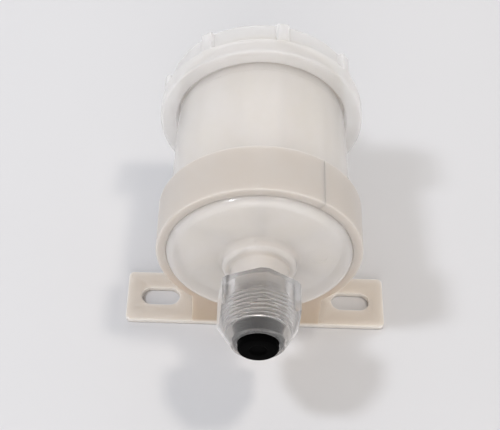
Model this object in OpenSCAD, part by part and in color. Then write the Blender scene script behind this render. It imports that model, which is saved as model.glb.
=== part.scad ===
// In-line fuel filter on its moulded mounting bracket.
// The filter axis runs along Y. Places along it are given as s, the distance
// behind the front rim of the bracket's band, so s grows towards the screw cap.
// The origin is on the mounting face, at the centre of the two slots, +Z up.

/* [Bracket] */
// Height of the filter axis above the mounting face
axis_h = 37.8; // [36:0.1:45]
// Width of the foot plate across both ears
foot_w = 81; // [78:1:100]
// Depth of the foot plate along the filter
foot_d = 18; // [17:1:24]
// Thickness of the foot plate
foot_t = 2; // [1.6:0.1:3]
// Radius of the foot plate's corners
foot_corner_r = 1.6; // [0.5:0.1:3]
// Distance between the centres of the two slots
slot_pitch = 60; // [58:1:62]
// Length of each slot, end to end
slot_l = 12; // [8:0.5:14]
// Width of each slot
slot_w = 6.4; // [4:0.1:7]
// Length of the band along the filter
band_len = 15.8; // [14:0.1:17]
// Wall thickness of the band
band_t = 2.9; // [2:0.1:4]
// Width of the saddle that joins the band to the foot
saddle_w = 39.5; // [30:0.5:42]
// Thickness of the saddle's front wall
saddle_wall = 2.4; // [1.5:0.1:4]
// Thickness of the saddle's ribs
rib_t = 1.9; // [1.2:0.1:3]
// Number of cored pockets in the back of the saddle
pocket_count = 4; // [2:1:5]
// Place of the split in the band, above the horizontal
split_angle = 55; // [30:1:75]
// Width of the split in the band
split_gap = 0.5; // [0.3:0.1:1.5]

/* [Bowl] */
// Radius of the bowl inside the band
bowl_r = 27.04; // [26.9:0.02:27.06]
// Radius of the bowl at its shoulder, just in front of the cap
shoulder_r = 26.05; // [25.8:0.05:26.6]
// Inner radius of the bowl
bowl_bore_r = 23.7; // [22.5:0.1:24]
// How far the front face stands out of the band
front_s = -2.1; // [-3:0.1:-1]
// Radius of the rounded edge of the front face
front_edge_r = 2.6; // [1:0.1:3]
// Thickness of the front wall
front_wall = 2.6; // [2:0.1:3.5]
// Radius of the boss at the foot of the outlet stem
boss_r = 10.7; // [9.5:0.1:12]
// Front face of that boss
boss_s = -5.7; // [-8:0.1:-4]
// Crest radius of the stem's thread, 3/8 pipe
stem_r = 8.33; // [8.2:0.01:8.36]
// Pitch of that thread, 19 to the inch
stem_pitch = 1.337; // [1:0.001:2]
// Front end of the stem
stem_end_s = -25.5; // [-25.6:0.1:-24.5]
// Radius of the socket that takes the tube
socket_r = 5.85; // [5.8:0.01:5.9]
// Radius of the fuel passage
passage_r = 4; // [3:0.1:4.5]
// Crest radius of the coarse thread under the cap
neck_crest_r = 26.4; // [26.1:0.1:26.5]
// Root radius of that thread
neck_root_r = 25.2; // [24.9:0.1:25.5]
// Pitch of that thread
neck_pitch = 3; // [2.5:0.1:3.5]

/* [Cap] */
// Front rim of the cap
cap_s = 51.3; // [50.5:0.1:52]
// Radius of the collar around the cap's mouth
collar_r = 31.7; // [30.5:0.1:33]
// Length of that collar
collar_len = 5.7; // [4:0.1:7]
// Radius of the cap between its grip lugs
grip_r = 29.3; // [28.8:0.1:30]
// Overall length of the cap, without the inlet port
cap_len = 14.7; // [14.5:0.1:16]
// Radius of the cap's bore
cap_bore_r = 26.7; // [26.6:0.05:27]
// Number of grip lugs
lug_count = 8; // [6:1:16]
// Radius over the grip lugs
lug_r = 31.2; // [30.2:0.1:32]
// Width of a grip lug
lug_w = 4; // [2:0.1:6]
// Radius of the inlet port's boss
port_r = 11; // [10:0.1:13]
// Length of the inlet port beyond the cap
port_len = 9; // [8:0.1:11]
// Radius of the port's tapped hole
port_tap_r = 7.48; // [7.3:0.01:7.6]
// Depth of the port's tapped hole
port_tap_len = 8; // [6:0.5:8]

/* [Compression nut] */
// Hexagon across its flats
nut_flats = 22.2; // [21:0.1:24]
// Back face of the nut
nut_back_s = -13.1; // [-14:0.1:-12]
// Front end of the nut's nose
nose_s = -30.6; // [-31:0.1:-30.4]
// Radius of the nose's front face
nose_r = 7.6; // [7.4:0.1:8.5]
// Radius gained on the nose's cone for each millimetre back
nose_slope = 0.6; // [0.5:0.01:0.65]
// Radius of the nut's threaded bore
nut_bore_r = 8.43; // [8.4:0.01:8.5]
// Radius of the hole in the nose
nose_hole_r = 5.95; // [5.85:0.01:6.1]
// Turn of the hexagon about the axis
nut_turn = 24.25; // [0:0.25:60]

/* [Plug] */
// Radius of the blanking plug, the same as the tube's
plug_r = 5.75; // [5.7:0.01:5.78]
// How far the plug stands out of the nose
plug_proud = 1.7; // [1:0.1:6]

/* [Element] */
// Outer radius of the element's sleeve
sleeve_r = 21.2; // [19:0.1:21.6]
// Radius of the pleats at their outer folds
pleat_out_r = 20; // [19.9:0.1:20]
// Depth of the pleats, from outer to inner fold on one side of the paper
pleat_depth = 8.2; // [6:0.1:8.2]
// Number of pleats
pleat_count = 28; // [16:1:32]
// Thickness of the filter paper
paper_t = 0.6; // [0.4:0.1:0.8]
// Front end of the paper
media_s0 = 4.8; // [4.5:0.1:6]
// Back end of the paper
media_s1 = 54.8; // [50:0.1:55]
// Outer radius of the core tube
core_r = 9.2; // [8.8:0.1:9.3]

/* [Hidden] */
$fn = 96;

over = 1;                             // how far a cut runs past the face it opens
rim_y = -foot_d / 2;                  // the band is flush with the foot's front edge
band_r = 30;                          // outer radius of the band
band_bore_r = band_r - band_t;
saddle_top = axis_h - band_bore_r;    // lowest point of the band's bore

floor_s = front_s + front_wall;       // inside of the bowl's front wall
shoulder_s = 49.4;                    // the bowl steps in to its neck here
neck_end_s = 62;                      // open end of the bowl
shoulder_edge_r = 0.9;
neck_thread_s = 54;                   // first crest of the neck's thread
neck_thread_n = 3;
spigot_r = 6;                         // spigot on the bowl's floor
spigot_end_s = 7;
floor_rib_n = 6;
floor_rib_h = 1.6;
socket_end_s = -12.9;                 // the tube stops here
seal_section_r = 0.65;                // cord radius of the tube's seal ring
seal_s = -24.75;
seal_ring_r = socket_r + seal_section_r;

cap_end_s = cap_s + cap_len;
cap_face_s = 63.6;                    // inside of the cap's end wall
cap_edge_r = 1.8;
lug_end_s = 64.6;
screen_seat_r = 7.9;
screen_seat_s = 64.6;

hex_r = nut_flats / sqrt(3);          // hexagon across its corners, halved
cavity_s0 = -26.2;                    // back end of the clamp sleeve's cavity
cavity_s1 = -29.6;                    // front end of that cavity
cavity_r0 = 8;
cavity_r1 = 7.15;
sleeve_s0 = -26.4;
sleeve_s1 = -29.5;
sleeve_gap = 0.2;                     // between the clamp sleeve and its cavity
plug_end_s = -13.2;
plug_edge = 0.4;

end_cap_r = 21.9;
end_cap_t = 2;
end_lip = 2.5;
grommet_bore_r = spigot_r + 0.08;
grommet_r = 7.2;
stud_r = 2.5;
core_bore_r = 8.2;
core_rows = 7;
core_cols = 6;
cage_t = 0.7;
cage_rows = 9;
cage_cols = 20;

// Turns its children so that +Z runs along the filter axis, starting at s.
module along_axis(s = 0) {
    translate([0, rim_y + s, axis_h])
        rotate([-90, 0, 0])
            children();
}

// A profile of radius and s, turned about the filter axis.
module spun() {
    along_axis()
        rotate_extrude()
            children();
}

// Children drawn at angle 0, on the +X side, are carried up to an angle.
module at_angle(angle) {
    translate([0, 0, axis_h])
        rotate([0, -angle, 0])
            translate([0, 0, -axis_h])
                children();
}

module rod(r, s0, s1) {
    along_axis(s0)
        cylinder(r = r, h = s1 - s0);
}

module tube(r_out, r_in, s0, s1) {
    difference() {
        rod(r_out, s0, s1);
        rod(r_in, s0 - over, s1 + over);
    }
}

// A block on the +X side, between two radii, centred on the given angle.
module radial_block(r0, r1, width, s0, s1, angle) {
    at_angle(angle)
        translate([r0, rim_y + s0, axis_h - width / 2])
            cube([r1 - r0, s1 - s0, width]);
}

// Square corner less its round: what a cutter takes off an outside edge.
module edge_cut(r) {
    difference() {
        square(r + over);
        circle(r);
    }
}

module slot_2d() {
    square([slot_l - slot_w, slot_w], center = true);
    for (side = [-1, 1])
        translate([side * (slot_l - slot_w) / 2, 0])
            circle(d = slot_w);
}

module foot_2d() {
    square([foot_w - 2 * foot_corner_r, foot_d], center = true);
    square([foot_w, foot_d - 2 * foot_corner_r], center = true);
    for (x = [-1, 1], y = [-1, 1])
        translate([x * (foot_w / 2 - foot_corner_r), y * (foot_d / 2 - foot_corner_r)])
            circle(foot_corner_r);
}

// Pockets cored into the saddle from behind, with a rib between each pair.
module saddle_pockets() {
    pocket_w = (saddle_w - rib_t * (pocket_count + 1)) / pocket_count;
    for (i = [0 : pocket_count - 1])
        translate([-saddle_w / 2 + rib_t + i * (pocket_w + rib_t), rim_y + saddle_wall, foot_t])
            cube([pocket_w, band_len, saddle_top]);
}

module mounting_bracket() {
    color([0.80, 0.75, 0.68])
    difference() {
        union() {
            linear_extrude(foot_t)
                difference() {
                    foot_2d();
                    for (side = [-1, 1])
                        translate([side * slot_pitch / 2, 0])
                            slot_2d();
                }
            difference() {
                translate([-saddle_w / 2, rim_y, foot_t / 2])
                    cube([saddle_w, band_len, axis_h - band_r / 2 - foot_t / 2]);
                saddle_pockets();
                rod(band_r - band_t / 2, -over, band_len + over);
            }
            rod(band_r, 0, band_len);
        }
        rod(band_bore_r, -over, band_len + over);
        radial_block(band_bore_r - over, band_r + over, split_gap, -over, band_len + over, split_angle);
    }
}

module bowl_outside() {
    root_r = stem_r - 0.75;
    thread_n = floor((boss_s - stem_end_s - 1) / stem_pitch);
    // the stem, its thread cut as rings of the right pitch and depth
    spun()
        polygon(concat(
            [[0, boss_s], [0, stem_end_s], [root_r, stem_end_s]],
            [for (i = [0 : thread_n - 1], k = [0 : 2])
                [k == 1 ? stem_r : root_r, stem_end_s + 0.3 + (i + k * 0.45) * stem_pitch]],
            [[root_r, boss_s]]
        ));
    rod(boss_r, boss_s, front_s + over);
    // the body, its rounded front edge and its shoulder
    spun()
        difference() {
            polygon([
                [0, front_s], [bowl_r, front_s], [bowl_r, band_len],
                [shoulder_r, shoulder_s - 1], [shoulder_r, shoulder_s], [0, shoulder_s]
            ]);
            translate([bowl_r - front_edge_r, front_s + front_edge_r])
                mirror([0, 1])
                    edge_cut(front_edge_r);
            translate([shoulder_r - shoulder_edge_r, shoulder_s - shoulder_edge_r])
                edge_cut(shoulder_edge_r);
        }
    rod(neck_root_r, shoulder_s - over, neck_end_s);
    // the neck's thread
    for (i = [0 : neck_thread_n - 1])
        spun()
            translate([neck_root_r - 0.5, neck_thread_s + i * neck_pitch])
                polygon([[0, -0.9], [neck_crest_r - neck_root_r + 0.5, -0.35],
                         [neck_crest_r - neck_root_r + 0.5, 0.35], [0, 0.9]]);
}

module filter_bowl() {
    color([0.93, 0.93, 0.92, 0.6])
    difference() {
        union() {
            difference() {
                bowl_outside();
                rod(bowl_bore_r, floor_s, neck_end_s + over);
            }
            rod(spigot_r, floor_s - over, spigot_end_s);
            for (i = [0 : floor_rib_n - 1])
                radial_block(spigot_r - over, bowl_bore_r + over, 1.2,
                             floor_s - over, floor_s + floor_rib_h, (i + 0.5) * 360 / floor_rib_n);
        }
        rod(passage_r, stem_end_s - over, spigot_end_s + over);
        rod(socket_r, stem_end_s - over, socket_end_s);
        rod(seal_ring_r + seal_section_r + 0.05, stem_end_s - over, seal_s + seal_section_r + 0.05);
    }
}

module screw_cap() {
    color([0.94, 0.94, 0.93, 0.6])
    difference() {
        union() {
            spun()
                difference() {
                    union() {
                        square([collar_r, collar_len + cap_s]);
                        square([grip_r, cap_end_s]);
                    }
                    square([cap_bore_r, cap_s + over]);
                    translate([0, -over])
                        square([collar_r + over, cap_s + over]);
                    translate([grip_r - cap_edge_r, cap_end_s - cap_edge_r])
                        edge_cut(cap_edge_r);
                    translate([collar_r - 0.8, cap_s + collar_len - 0.8])
                        edge_cut(0.8);
                }
            for (i = [0 : lug_count - 1])
                radial_block(grip_r - 2, lug_r, lug_w, cap_s + collar_len - over, lug_end_s,
                             35 + i * 360 / lug_count);
            rod(port_r, cap_end_s - over, cap_end_s + port_len);
        }
        rod(cap_bore_r, cap_s - over, cap_face_s);
        rod(screen_seat_r, cap_face_s - over, screen_seat_s);
        rod(passage_r, cap_face_s, cap_end_s + port_len);
        rod(port_tap_r, cap_end_s + port_len - port_tap_len, cap_end_s + port_len + over);
    }
}

module cap_gasket() {
    color([0.88, 0.86, 0.80])
    tube(26.2, 22.6, 62.05, 63.5);
}

module compression_nut() {
    back_edge = 0.5;
    cone_back_s = nose_s + (hex_r - nose_r) / nose_slope;
    color([0.86, 0.85, 0.84, 0.6])
    difference() {
        intersection() {
            along_axis(nose_s)
                rotate([0, 0, -nut_turn])
                    cylinder(r = hex_r, h = nut_back_s - nose_s, $fn = 6);
            spun()
                polygon([
                    [0, nose_s], [nose_r, nose_s], [hex_r, cone_back_s],
                    [hex_r, nut_back_s - back_edge], [hex_r - 1.2 * back_edge, nut_back_s],
                    [0, nut_back_s]
                ]);
        }
        rod(nut_bore_r, cavity_s0, nut_back_s + over);
        spun()
            polygon([[0, cavity_s1], [cavity_r1, cavity_s1], [cavity_r0, cavity_s0],
                     [cavity_r0, cavity_s0 + over], [0, cavity_s0 + over]]);
        rod(nose_hole_r, nose_s - over, cavity_s1 + over);
    }
}

module clamp_sleeve() {
    color([0.03, 0.03, 0.03])
    difference() {
        spun()
            polygon([[0, sleeve_s1], [cavity_r1 - sleeve_gap, sleeve_s1],
                     [cavity_r0 - sleeve_gap, sleeve_s0], [0, sleeve_s0]]);
        rod(socket_r, sleeve_s1 - over, sleeve_s0 + over);
    }
}

module grab_ring() {
    tooth_count = 8;
    color([0.75, 0.75, 0.76])
    difference() {
        tube(7.7, socket_r, sleeve_s0, sleeve_s0 + 0.3);
        for (i = [0 : tooth_count - 1])
            radial_block(0, 6.9, 0.5, sleeve_s0 - over, sleeve_s0 + over, i * 360 / tooth_count);
    }
}

module backup_washer() {
    color([0.92, 0.92, 0.90])
    tube(7.8, socket_r, sleeve_s0 + 0.3, sleeve_s0 + 0.8);
}

module tube_seal_ring() {
    color([0.05, 0.05, 0.05])
    spun()
        translate([seal_ring_r, seal_s])
            circle(seal_section_r);
}

module transit_plug() {
    dish_r = 2.6;
    dish_depth = 0.5;
    color([0.02, 0.02, 0.02])
    spun()
        polygon([
            [0, nose_s - plug_proud + dish_depth], [dish_r - 0.5, nose_s - plug_proud + dish_depth],
            [dish_r, nose_s - plug_proud], [plug_r - plug_edge, nose_s - plug_proud],
            [plug_r, nose_s - plug_proud + plug_edge], [plug_r, plug_end_s - plug_edge],
            [plug_r - plug_edge, plug_end_s], [0, plug_end_s]
        ]);
}

// Fold k of the paper: outer and inner folds take turns.
function fold(k, grow) =
    let (a = k * 180 / pleat_count, r = pleat_out_r - (k % 2) * pleat_depth + grow)
    [r * cos(a), r * sin(a)];

module pleat_star(grow) {
    polygon([for (k = [0 : 2 * pleat_count - 1]) fold(k, grow)]);
}

module pleated_media() {
    // moving both folds inward by this much leaves a wall of the paper's thickness
    lean = atan2(pleat_out_r * sin(180 / pleat_count), pleat_depth);
    shift = paper_t / sin(lean);
    color([0.93, 0.90, 0.82])
    along_axis(media_s0)
        linear_extrude(media_s1 - media_s0)
            difference() {
                pleat_star(0);
                pleat_star(-shift);
            }
}

module media_seam_clip() {
    clip_w = 1.4;
    color([0.78, 0.78, 0.80])
    difference() {
        radial_block(pleat_out_r - 3.5, pleat_out_r + 0.4, clip_w, media_s0, media_s1, 0);
        along_axis(media_s0 - over)
            linear_extrude(media_s1 - media_s0 + 2 * over)
                pleat_star(0.05);
    }
}

// A round wall with windows in rows and columns.
module window_wall(r_out, r_in, s0, s1, rows, cols, window_share) {
    pitch = (s1 - s0) / rows;
    open = pitch * window_share;
    width = 2 * PI * r_in / cols * window_share;
    difference() {
        tube(r_out, r_in, s0, s1);
        for (row = [0 : rows - 1], col = [0 : cols - 1])
            radial_block(r_in - over, r_out + over, width, s0 + (row + 0.5) * pitch - open / 2,
                         s0 + (row + 0.5) * pitch + open / 2, (col + 0.5) * 360 / cols);
    }
}

module core_tube() {
    color([0.90, 0.90, 0.88])
    window_wall(core_r, core_bore_r, media_s0, media_s1, core_rows, core_cols, 0.55);
}

module outer_sleeve() {
    color([0.95, 0.95, 0.94])
    window_wall(sleeve_r, sleeve_r - cage_t, media_s0, media_s1, cage_rows, cage_cols, 0.72);
}

module front_end_cap() {
    color([0.92, 0.92, 0.90])
    difference() {
        rod(end_cap_r, media_s0 - end_cap_t, media_s0 + end_lip);
        rod(end_cap_r - 0.6, media_s0, media_s0 + end_lip + over);
        rod(grommet_r, media_s0 - end_cap_t - over, media_s0 + over);
    }
}

module rear_end_cap() {
    color([0.92, 0.92, 0.90])
    union() {
        difference() {
            rod(end_cap_r, media_s1 - end_lip, media_s1 + end_cap_t);
            rod(end_cap_r - 0.6, media_s1 - end_lip - over, media_s1);
        }
        rod(stud_r, media_s1 + end_cap_t - over, media_s1 + end_cap_t + 2);
    }
}

module spigot_grommet() {
    color([0.12, 0.12, 0.12])
    difference() {
        union() {
            rod(grommet_r, media_s0 - end_cap_t, media_s0);
            rod(core_bore_r - 0.2, media_s0, media_s0 + 0.8);
        }
        rod(grommet_bore_r, media_s0 - end_cap_t - over, media_s0 + over);
    }
}

module spring_seat() {
    color([0.74, 0.74, 0.75])
    tube(9, stud_r, media_s1 + end_cap_t, media_s1 + end_cap_t + 0.4);
}

module retaining_spring() {
    leg_count = 4;
    leg_w = 4;
    strip_t = 0.4;
    base_s = media_s1 + end_cap_t + 0.4;
    tip_s = cap_face_s - 0.25;
    color([0.70, 0.70, 0.72])
    union() {
        tube(6.5, stud_r, base_s, base_s + strip_t);
        for (i = [0 : leg_count - 1])
            at_angle((i + 0.5) * 360 / leg_count)
                translate([0, rim_y, axis_h + leg_w / 2])
                    mirror([0, 0, 1])
                        linear_extrude(leg_w)
                            polygon([
                                [5.5, base_s], [6.5, base_s], [15, tip_s - strip_t], [18, tip_s - strip_t],
                                [18, tip_s], [14.7, tip_s], [6.2, base_s + strip_t], [5.5, base_s + strip_t]
                            ]);
    }
}

module inlet_screen() {
    color([0.72, 0.72, 0.74])
    rod(screen_seat_r - 0.05, 64.3, 64.55);
}

module screen_retainer() {
    color([0.92, 0.92, 0.90])
    tube(screen_seat_r - 0.02, 6.2, cap_face_s + 0.1, 64.3);
}

mounting_bracket();
filter_bowl();
screw_cap();
cap_gasket();
compression_nut();
clamp_sleeve();
grab_ring();
backup_washer();
tube_seal_ring();
transit_plug();
pleated_media();
media_seam_clip();
core_tube();
outer_sleeve();
front_end_cap();
rear_end_cap();
spigot_grommet();
spring_seat();
retaining_spring();
inlet_screen();
screen_retainer();
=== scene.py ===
"""Finished look of an in-line fuel filter on its moulded bracket.

The filter's axis lies along Y. Sizes are in millimetres. Places along the axis
are given as s, the distance behind the front rim of the bracket's band.
"""

import logging
import math
from collections.abc import Callable, Sequence
from dataclasses import dataclass, field
from enum import Enum
from itertools import pairwise

import bpy
from mathutils import Matrix, Vector

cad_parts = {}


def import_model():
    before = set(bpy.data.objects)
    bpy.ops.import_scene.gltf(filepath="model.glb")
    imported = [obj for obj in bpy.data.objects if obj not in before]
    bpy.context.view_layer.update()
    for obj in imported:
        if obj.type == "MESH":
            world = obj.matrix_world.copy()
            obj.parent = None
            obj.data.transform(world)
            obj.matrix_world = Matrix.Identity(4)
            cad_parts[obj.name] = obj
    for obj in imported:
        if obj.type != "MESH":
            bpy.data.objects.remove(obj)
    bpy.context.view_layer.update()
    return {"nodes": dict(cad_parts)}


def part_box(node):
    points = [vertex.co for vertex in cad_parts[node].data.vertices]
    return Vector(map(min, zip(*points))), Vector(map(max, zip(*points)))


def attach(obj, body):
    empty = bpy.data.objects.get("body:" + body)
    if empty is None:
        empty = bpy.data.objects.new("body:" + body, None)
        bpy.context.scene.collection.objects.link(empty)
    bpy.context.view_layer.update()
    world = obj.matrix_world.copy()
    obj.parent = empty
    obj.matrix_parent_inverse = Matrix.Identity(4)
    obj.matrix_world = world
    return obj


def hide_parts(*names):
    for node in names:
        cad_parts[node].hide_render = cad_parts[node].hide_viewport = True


MM = 0.001
TURN = 2 * math.pi
WELD = 0.002 * MM
PATCH_RANGE = {"From Min": 0.3, "From Max": 0.7}
EVEN_RADIUS = (1.0, 1.0, 1.0)

Corner = tuple[float, float, float]
Point = tuple[float, float]
Stops = Sequence[tuple[float, str]]
Source = bpy.types.Node | bpy.types.NodeSocket

log = logging.getLogger("fuel_filter")


class Join(Enum):
    """What a tool solid does to the piece that it meets."""

    ADD = "UNION"
    CUT = "DIFFERENCE"
    KEEP = "INTERSECT"


class Side(Enum):
    """Side of the filter, as the sign of X."""

    LEFT = -1
    RIGHT = 1


# --- places -----------------------------------------------------------------


@dataclass(frozen=True)
class FilterAxis:
    """The line that every turned piece is centred on."""

    x: float
    z: float
    rim_y: float

    @classmethod
    def from_frame(cls) -> "FilterAxis":
        """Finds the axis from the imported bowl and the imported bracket.

        Returns:
            The filter's axis.
        """
        bowl_low, bowl_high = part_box("filter_bowl")
        bracket_low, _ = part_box("mounting_bracket")
        middle = (Vector(bowl_low) + Vector(bowl_high)) / 2 / MM
        return cls(middle.x, middle.z, bracket_low[1] / MM)

    def at(self, radius: float, s: float, angle: float = 90.0) -> Vector:
        """Gives a point in metres.

        Args:
            radius: Distance from the axis.
            s: Distance behind the band's front rim.
            angle: Degrees above the +X side; 90 is straight up.

        Returns:
            The point in the row frame.
        """
        turn = math.radians(angle)
        x = self.x + radius * math.cos(turn)
        z = self.z + radius * math.sin(turn)
        return Vector((x, self.rim_y + s, z)) * MM

    def polar(self, point: Vector) -> tuple[float, float, float]:
        """Gives a point's radius, s, and share of a turn about +Y."""
        x, z = point.x / MM - self.x, point.z / MM - self.z
        return math.hypot(x, z), point.y / MM - self.rim_y, math.atan2(x, z) / TURN

    def turned_by(self, angle: float) -> Matrix:
        """Gives the matrix that carries the +X side up by an angle in degrees."""
        centre = Matrix.Translation(self.at(0, 0))
        return centre @ Matrix.Rotation(-math.radians(angle), 4, "Y") @ centre.inverted()


# --- bench tools ------------------------------------------------------------


def activate(piece: bpy.types.Object) -> None:
    """Selects one piece and nothing else.

    Args:
        piece: The piece to select.
    """
    bpy.ops.object.select_all(action="DESELECT")
    piece.select_set(True)
    bpy.context.view_layer.objects.active = piece


def settle(piece: bpy.types.Object, name: str) -> bpy.types.Object:
    """Names a piece and moves its place into its mesh, so that its origin is the frame's.

    Args:
        piece: The piece to settle.
        name: Its name.

    Returns:
        The same piece.
    """
    activate(piece)
    bpy.ops.object.transform_apply(location=True, rotation=True, scale=True)
    piece.name = name
    piece.data.name = name
    return piece


def apply_modifier(piece: bpy.types.Object, kind: str, **settings: object) -> None:
    """Adds a modifier with its settings and applies it.

    Args:
        piece: The piece to change.
        kind: Blender's name for the modifier.
        settings: The modifier's properties.
    """
    activate(piece)
    modifier = piece.modifiers.new(kind.lower(), kind)
    for name, value in settings.items():
        setattr(modifier, name, value)
    bpy.ops.object.modifier_apply(modifier=modifier.name)


def combine(piece: bpy.types.Object, tool: bpy.types.Object, how: Join) -> None:
    """Joins, cuts or trims a piece with a tool solid, which is used up."""
    apply_modifier(piece, "BOOLEAN", object=tool, operation=how.value, solver="EXACT")
    bpy.data.objects.remove(tool, do_unlink=True)


def soften_rims(piece: bpy.types.Object, width: float, sharper_than: float = 50.0) -> None:
    """Rounds every edge that is sharper than an angle in degrees.

    Args:
        piece: The piece to soften.
        width: Width of the round.
        sharper_than: The angle, in degrees.
    """
    apply_modifier(
        piece,
        "BEVEL",
        width=width * MM,
        segments=2,
        limit_method="ANGLE",
        angle_limit=math.radians(sharper_than),
    )


def smooth(piece: bpy.types.Object, angle: float = 50.0) -> None:
    """Shades a piece smooth, apart from edges sharper than an angle in degrees."""
    activate(piece)
    bpy.ops.object.shade_smooth_by_angle(angle=math.radians(angle))


def face_outwards(piece: bpy.types.Object) -> None:
    """Turns every face of a closed piece to point outwards.

    Args:
        piece: The closed piece.
    """
    activate(piece)
    bpy.ops.object.mode_set(mode="EDIT")
    bpy.ops.mesh.select_all(action="SELECT")
    bpy.ops.mesh.normals_make_consistent(inside=False)
    bpy.ops.object.mode_set(mode="OBJECT")


def merge_objects(pieces: Sequence[bpy.types.Object], name: str) -> bpy.types.Object:
    """Makes one object of several and names it.

    Args:
        pieces: The objects, which are used up.
        name: Name of the result.

    Returns:
        The joined piece.
    """
    activate(pieces[0])
    for piece in pieces:
        piece.select_set(True)
    bpy.ops.object.join()
    return settle(bpy.context.active_object, name)


def ring_of_copies(
    piece: bpy.types.Object, axis: FilterAxis, count: int, first: float = 0.0
) -> bpy.types.Object:
    """Repeats a piece around the axis as one object.

    Args:
        piece: The piece at angle 0.
        axis: The filter's axis.
        count: How many there are all round.
        first: Angle of the first one, in degrees.

    Returns:
        The joined ring.
    """
    copies = []
    for index in range(count):
        copy = piece.copy()
        copy.data = piece.data.copy()
        bpy.context.collection.objects.link(copy)
        copy.data.transform(axis.turned_by(first + index * 360 / count))
        copies.append(copy)
    name = piece.name
    bpy.data.objects.remove(piece, do_unlink=True)
    return merge_objects(copies, name)


def block(name: str, low: Corner, high: Corner) -> bpy.types.Object:
    """Adds a block between two corners given in millimetres in the row frame.

    Args:
        name: Name of the new piece.
        low: Its lowest corner.
        high: Its highest corner.

    Returns:
        The block.
    """
    bpy.ops.object.select_all(action="DESELECT")
    low_point, high_point = Vector(low) * MM, Vector(high) * MM
    bpy.ops.mesh.primitive_cube_add(
        size=1, location=(low_point + high_point) / 2, scale=high_point - low_point
    )
    return settle(bpy.context.active_object, name)


def bevel_edges(
    piece: bpy.types.Object,
    wanted: Callable[[Vector], bool],
    radius: float,
    steps: int = 4,
) -> None:
    """Rounds the edges of a piece that run a wanted way.

    Args:
        piece: The piece, still made of few straight edges.
        wanted: Says of an edge's direction whether it is rounded.
        radius: Radius of the round.
        steps: Faces across the round.
    """
    activate(piece)
    bpy.ops.object.mode_set(mode="EDIT")
    bpy.ops.mesh.select_mode(type="EDGE")
    bpy.ops.mesh.select_all(action="DESELECT")
    bpy.ops.object.mode_set(mode="OBJECT")
    points = piece.data.vertices
    for edge in piece.data.edges:
        start, end = (points[index].co for index in edge.vertices)
        edge.select = wanted((end - start).normalized())
    bpy.ops.object.mode_set(mode="EDIT")
    bpy.ops.mesh.bevel(offset=radius * MM, segments=steps, affect="EDGES")
    bpy.ops.object.mode_set(mode="OBJECT")


def along(direction: tuple[float, float, float]) -> Callable[[Vector], bool]:
    """Gives a test for edges that run along a direction."""
    return lambda edge: abs(edge.dot(Vector(direction))) > 0.99


def any_way(_edge: Vector) -> bool:
    """Accepts every edge."""
    return True


def rounded(corners: Sequence[Corner], steps: int = 5) -> list[Point]:
    """Turns a closed outline's corners into points.

    Args:
        corners: (radius, s, fillet) of each corner, in order around the outline.
        steps: Straight pieces in each fillet.

    Returns:
        The outline's points as (radius, s), with an arc at each fillet.
    """
    points: list[Point] = []
    for index, (radius, s, fillet) in enumerate(corners):
        corner = Vector((radius, s))
        if fillet <= 0:
            points.append((radius, s))
            continue
        back = (Vector(corners[index - 1][:2]) - corner).normalized()
        ahead = (Vector(corners[(index + 1) % len(corners)][:2]) - corner).normalized()
        half = back.angle(ahead) / 2
        middle = corner + (back + ahead).normalized() * (fillet / math.sin(half))
        first = corner + back * (fillet / math.tan(half)) - middle
        last = corner + ahead * (fillet / math.tan(half)) - middle
        sweep = first.angle_signed(last)
        for step in range(steps + 1):
            spoke = first.copy()
            spoke.rotate(Matrix.Rotation(-sweep * step / steps, 2))
            points.append(tuple(middle + spoke))
    return points


def ladder(radius: float, start: float, end: float, rungs: int) -> list[Corner]:
    """Gives evenly spaced corners along a straight wall, for a thread to be cut in."""
    return [(radius, start + (end - start) * rung / rungs, 0.0) for rung in range(rungs + 1)]


def turned(
    name: str, outline: Sequence[Point], axis: FilterAxis, steps: int = 96
) -> bpy.types.Object:
    """Spins a closed outline about the filter axis.

    Args:
        name: Name of the new piece.
        outline: (radius, s) of each point. It may touch the axis only at its ends.
        axis: The filter's axis.
        steps: Faces in a full turn.

    Returns:
        A closed solid of revolution.
    """
    bpy.ops.object.select_all(action="DESELECT")
    bpy.ops.mesh.primitive_plane_add(size=MM, location=axis.at(*outline[0]))
    piece = settle(bpy.context.active_object, name)
    bpy.ops.object.mode_set(mode="EDIT")
    bpy.ops.mesh.select_mode(type="VERT")
    bpy.ops.mesh.select_all(action="SELECT")
    bpy.ops.mesh.merge(type="CENTER")
    for here, there in pairwise([*outline, outline[0]]):
        step = axis.at(*there) - axis.at(*here)
        bpy.ops.mesh.extrude_region_move(TRANSFORM_OT_translate={"value": step})
    bpy.ops.mesh.select_all(action="SELECT")
    bpy.ops.mesh.remove_doubles(threshold=WELD)
    bpy.ops.mesh.spin(steps=steps, angle=TURN, center=axis.at(0, 0), axis=(0, 1, 0))
    bpy.ops.mesh.select_all(action="SELECT")
    bpy.ops.mesh.remove_doubles(threshold=WELD)
    bpy.ops.mesh.normals_make_consistent(inside=False)
    bpy.ops.object.mode_set(mode="OBJECT")
    return piece


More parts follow.
